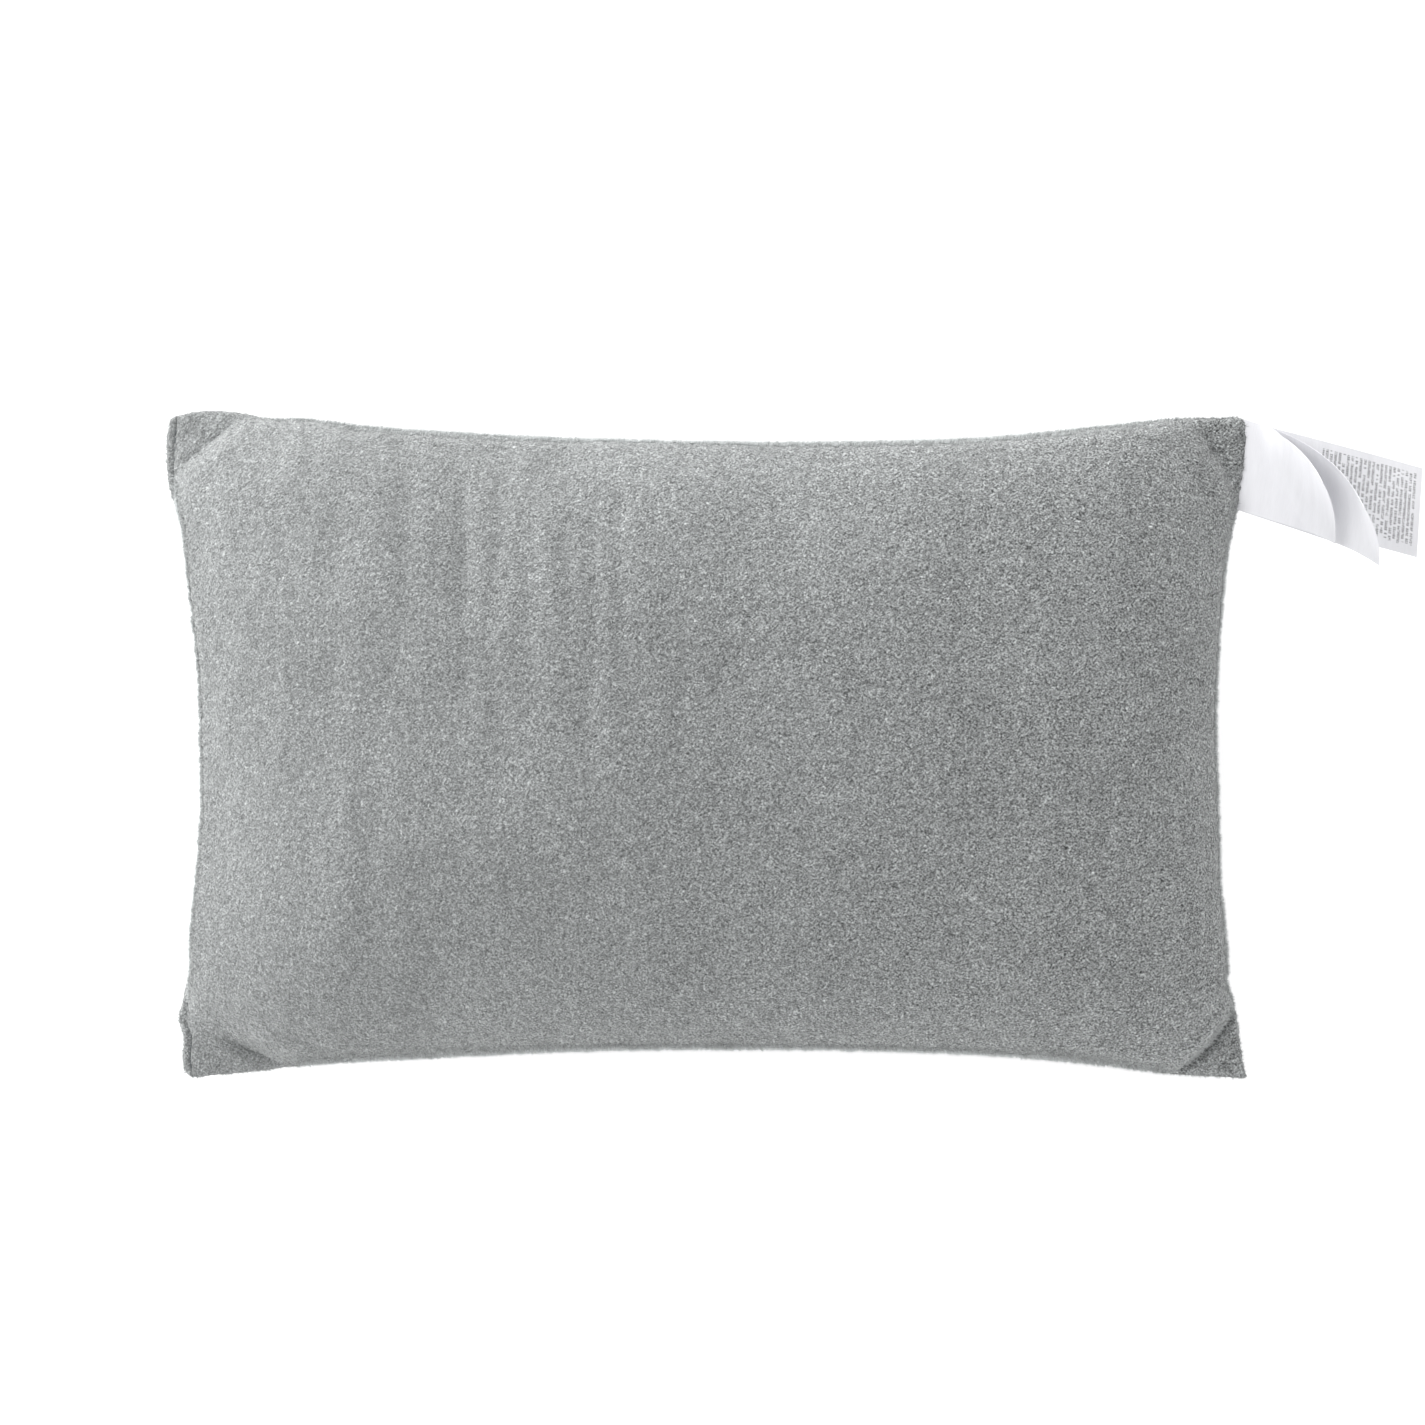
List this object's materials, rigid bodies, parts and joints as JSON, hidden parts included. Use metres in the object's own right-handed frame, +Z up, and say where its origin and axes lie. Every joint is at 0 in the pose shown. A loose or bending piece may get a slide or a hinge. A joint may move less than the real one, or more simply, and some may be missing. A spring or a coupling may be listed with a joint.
{
  "type": "camp pillow",
  "caption": "Small rectangular fleece camp pillow with drawn-in sides, flat corner ears, a topstitched closing seam and a three-leaf satin care label.",
  "frame": {"origin": "centre of the flat patch on the underside of the back panel, on which the pillow rests", "axes": "+X along the long side towards the side with the care label, +Y along the short side towards the label's corner, +Z up out of the front panel"},
  "size_m": [0.4665, 0.248, 0.0902],
  "materials": {
    "fleece": "matte",
    "fibre": "matte",
    "thread": "matte",
    "satin": "satin"
  },
  "bodies": {
    "pillow": {"front_panel": "fleece", "back_panel": "fleece", "fibre_fill": "fibre", "closing_stitch_needle_thread": "thread", "closing_stitch_bobbin_thread": "thread", "top_seam_thread": "thread", "bottom_seam_thread": "thread", "right_seam_thread": "thread", "top_overlock_thread": "thread", "bottom_overlock_thread": "thread", "right_overlock_thread": "thread"},
    "leaf_back": {"label_leaf_back": "satin"},
    "leaf_middle": {"label_leaf_middle": "satin"},
    "leaf_front": {"label_leaf_front": "satin"}
  },
  "joints": [
    {"name": "leaf_back_flap", "type": "hinge", "parent": "pillow", "child": "leaf_back", "pos_m": [0.19678, 0.08819, 0.03935], "axis": [-0.141, -0.99, 0], "range_deg": [-20, 30], "stiffness_Nm_per_rad": 0.0005},
    {"name": "leaf_middle_flap", "type": "hinge", "parent": "leaf_back", "child": "leaf_middle", "pos_m": [0.19678, 0.08819, 0.04], "axis": [-0.141, -0.99, 0], "range_deg": [0, 25], "stiffness_Nm_per_rad": 0.0005},
    {"name": "leaf_front_flap", "type": "hinge", "parent": "leaf_middle", "child": "leaf_front", "pos_m": [0.19678, 0.08819, 0.04065], "axis": [-0.141, -0.99, 0], "range_deg": [0, 40], "stiffness_Nm_per_rad": 0.0005}
  ]
}
